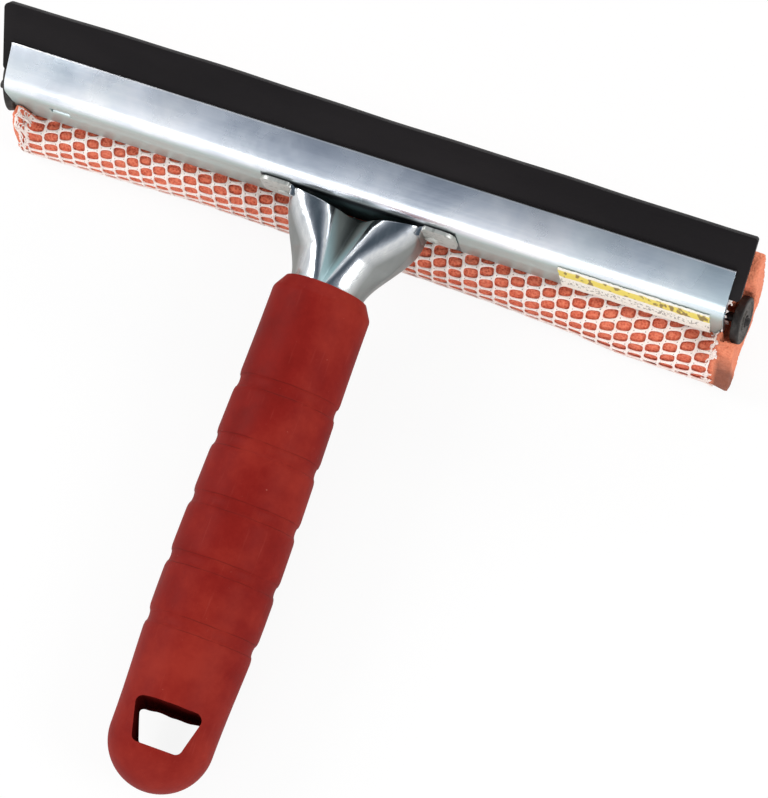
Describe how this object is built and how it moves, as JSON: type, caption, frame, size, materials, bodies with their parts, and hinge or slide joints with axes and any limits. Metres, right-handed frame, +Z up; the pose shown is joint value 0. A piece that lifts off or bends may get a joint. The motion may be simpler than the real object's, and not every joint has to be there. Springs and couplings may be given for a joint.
{
  "type": "window squeegee",
  "caption": "Window squeegee with a forward-leaning rubber blade in bent steel plates, a netted sponge behind it, a fluted steel neck and a grooved grip with a hang hole.",
  "frame": {"origin": "on the floor, under the middle of the tool's box as it lies on its sponge and on the end of its grip", "axes": "+X along the head, +Y from the grip towards the head, +Z up, to the side that the blade leans to"},
  "size_m": [0.2088, 0.1786, 0.0475],
  "materials": {
    "zinc_steel": "bright zinc plating",
    "neck_steel": "bright zinc plating",
    "rubber": "matte",
    "grip_plastic": "soft satin",
    "sponge_foam": "open cell foam",
    "net_yarn": "knitted net",
    "paper": "matte paper"
  },
  "bodies": {
    "root": {"front_plate": "zinc_steel", "back_plate": "zinc_steel", "rubber_blade": "rubber", "neck": "neck_steel", "neck_rivet_left": "neck_steel", "neck_rivet_right": "neck_steel", "net_rod": "rubber", "end_washer_left": "rubber", "end_washer_right": "rubber", "sponge": "sponge_foam", "net_sleeve": "net_yarn", "grip": "grip_plastic", "label": "paper"}
  },
  "joints": []
}
